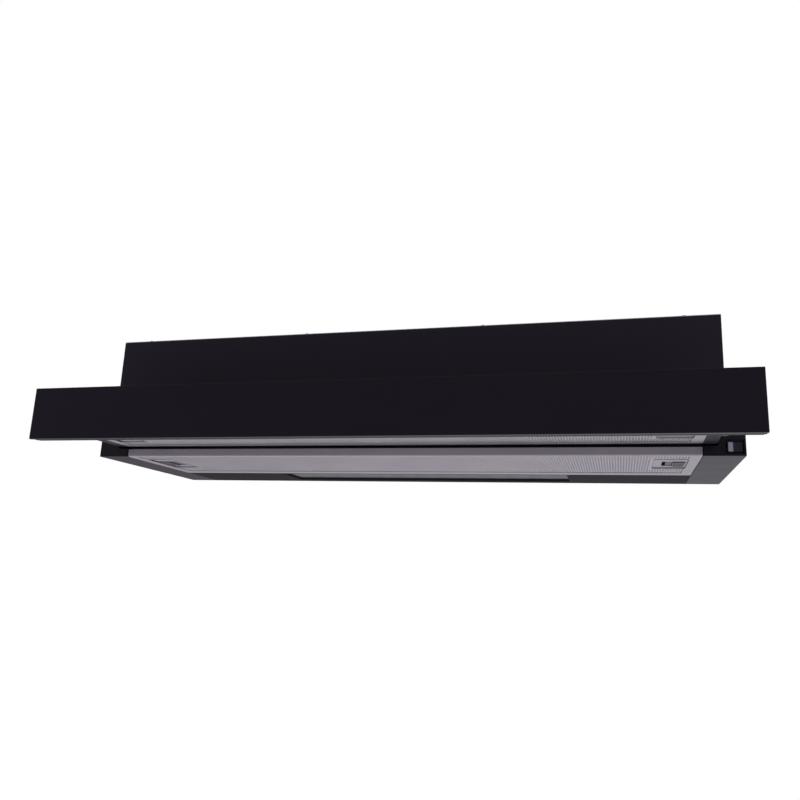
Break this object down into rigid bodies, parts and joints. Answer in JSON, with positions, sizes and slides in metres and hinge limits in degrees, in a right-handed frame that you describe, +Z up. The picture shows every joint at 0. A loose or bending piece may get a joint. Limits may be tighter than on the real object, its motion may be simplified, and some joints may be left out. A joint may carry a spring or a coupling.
{
  "type": "range hood",
  "caption": "Slide-out range hood for a wall cabinet: a wide body with a glass-fronted drawer that pulls out, mesh grease filters, a sunk lamp and a blower with a duct collar on top.",
  "frame": {"origin": "centre of the four cabinet screw holes, on the top face of the top plate", "axes": "+X to the right of a person who faces the hood, -Y out through the front panel, +Z up into the cabinet"},
  "size_m": [0.898, 0.419, 0.217],
  "materials": {
    "black_glass": "polished",
    "black_paint": "satin",
    "black_plastic": "fine grain",
    "blower_plastic": "moulded",
    "rubber": "matt",
    "filter_frame": "rolled",
    "filter_mesh": "expanded mesh",
    "flap_sheet": "rolled",
    "grey_plastic": "fine grain",
    "zinc_steel": "zinc plated",
    "bright_steel": "turned",
    "winding": "varnished wire",
    "bronze": "sintered",
    "white_paint": "satin",
    "white_plastic": "moulded",
    "lens": "frosted",
    "led": "phosphor"
  },
  "bodies": {
    "hood": {"upper_box": "black_paint", "base_deck": "black_paint", "front_rail": "black_paint", "rear_panel": "black_paint", "side_block_left": "black_plastic", "side_block_right": "black_plastic", "control_bezel": "black_plastic", "switch_body": "black_plastic", "drawer_sensor": "black_plastic", "outlet_spigot": "black_plastic", "terminal_box": "black_plastic", "terminal_cover": "black_plastic", "cable_gland": "black_plastic", "volute_left": "blower_plastic", "volute_right": "blower_plastic", "blower_mounts": "rubber", "slide_outer_left": "zinc_steel", "slide_outer_right": "zinc_steel", "top_plate": "zinc_steel", "motor_bracket": "zinc_steel", "motor_cap_inner": "zinc_steel", "motor_cap_outer": "zinc_steel", "top_screws": "bright_steel", "blower_screws": "bright_steel", "flap_pin": "bright_steel", "motor_stator": "winding", "shaft_bushes": "bronze", "lamp_housing": "white_paint", "led_board": "white_paint", "led_driver": "white_plastic", "capacitor": "white_plastic", "terminal_block": "white_plastic", "lamp_lens": "lens", "led_chips": "led"},
    "drawer": {"front_panel": "black_glass", "panel_carrier": "black_paint", "panel_cap_left": "black_plastic", "panel_cap_right": "black_plastic", "panel_screws": "bright_steel", "panel_bumpers": "rubber", "tray_frame": "black_paint", "drawer_magnet": "bright_steel", "slide_inner_left": "zinc_steel", "slide_inner_right": "zinc_steel"},
    "tray_filter": {"tray_filter_frame": "filter_frame", "tray_filter_mesh": "filter_mesh"},
    "tray_latch_left": {"tray_latch_left": "grey_plastic"},
    "tray_latch_right": {"tray_latch_right": "grey_plastic"},
    "main_filter": {"main_filter_frame": "filter_frame", "main_filter_mesh": "filter_mesh"},
    "main_latch_left": {"main_latch_left": "grey_plastic"},
    "main_latch_right": {"main_latch_right": "grey_plastic"},
    "ball_cage_left": {"ball_cage_left": "zinc_steel"},
    "ball_cage_right": {"ball_cage_right": "zinc_steel"},
    "rocker": {"rocker": "grey_plastic"},
    "impeller": {"impeller": "blower_plastic", "motor_shaft": "bright_steel", "motor_rotor": "bright_steel"},
    "flap_front": {"flap_front": "flap_sheet"},
    "flap_rear": {"flap_rear": "flap_sheet"}
  },
  "joints": [
    {"name": "drawer_slide", "type": "slide", "parent": "hood", "child": "drawer", "axis": [0, -1, 0], "range_m": [-0.127, 0]},
    {"name": "ball_cage_left_slide", "type": "slide", "parent": "hood", "child": "ball_cage_left", "axis": [0, -1, 0], "range_m": [-0.0635, 0]},
    {"name": "ball_cage_right_slide", "type": "slide", "parent": "hood", "child": "ball_cage_right", "axis": [0, -1, 0], "range_m": [-0.0635, 0]},
    {"name": "tray_filter_tilt", "type": "hinge", "parent": "drawer", "child": "tray_filter", "pos_m": [0, -0.1365, -0.164], "axis": [1, 0, 0], "range_deg": [0, 35]},
    {"name": "main_filter_tilt", "type": "hinge", "parent": "hood", "child": "main_filter", "pos_m": [0, 0.0368, -0.179], "axis": [1, 0, 0], "range_deg": [0, 35]},
    {"name": "tray_latch_left_slide", "type": "slide", "parent": "tray_filter", "child": "tray_latch_left", "axis": [1, 0, 0], "range_m": [0, 0.012], "stiffness_N_per_m": 150, "springref_m": -0.006},
    {"name": "tray_latch_right_slide", "type": "slide", "parent": "tray_filter", "child": "tray_latch_right", "axis": [-1, 0, 0], "range_m": [0, 0.012], "stiffness_N_per_m": 150, "springref_m": -0.006},
    {"name": "main_latch_left_slide", "type": "slide", "parent": "main_filter", "child": "main_latch_left", "axis": [1, 0, 0], "range_m": [0, 0.012], "stiffness_N_per_m": 150, "springref_m": -0.006},
    {"name": "main_latch_right_slide", "type": "slide", "parent": "main_filter", "child": "main_latch_right", "axis": [-1, 0, 0], "range_m": [0, 0.012], "stiffness_N_per_m": 150, "springref_m": -0.006},
    {"name": "rocker_tilt", "type": "hinge", "parent": "hood", "child": "rocker", "pos_m": [0.4365, -0.1285, -0.1677], "axis": [0, 0, -1], "range_deg": [0, 14]},
    {"name": "impeller_spin", "type": "hinge", "parent": "hood", "child": "impeller", "pos_m": [0, -0.0215, -0.06705], "axis": [1, 0, 0], "continuous": true},
    {"name": "flap_front_swing", "type": "hinge", "parent": "hood", "child": "flap_front", "pos_m": [0, 0.0565, 0.0125], "axis": [-1, 0, 0], "range_deg": [0, 75]},
    {"name": "flap_rear_swing", "type": "hinge", "parent": "hood", "child": "flap_rear", "pos_m": [0, 0.0565, 0.0125], "axis": [1, 0, 0], "range_deg": [0, 75]}
  ],
  "couplings": [
    {"joint": "ball_cage_left_slide", "follows": "drawer_slide", "ratio": 0.5},
    {"joint": "ball_cage_right_slide", "follows": "drawer_slide", "ratio": 0.5}
  ]
}
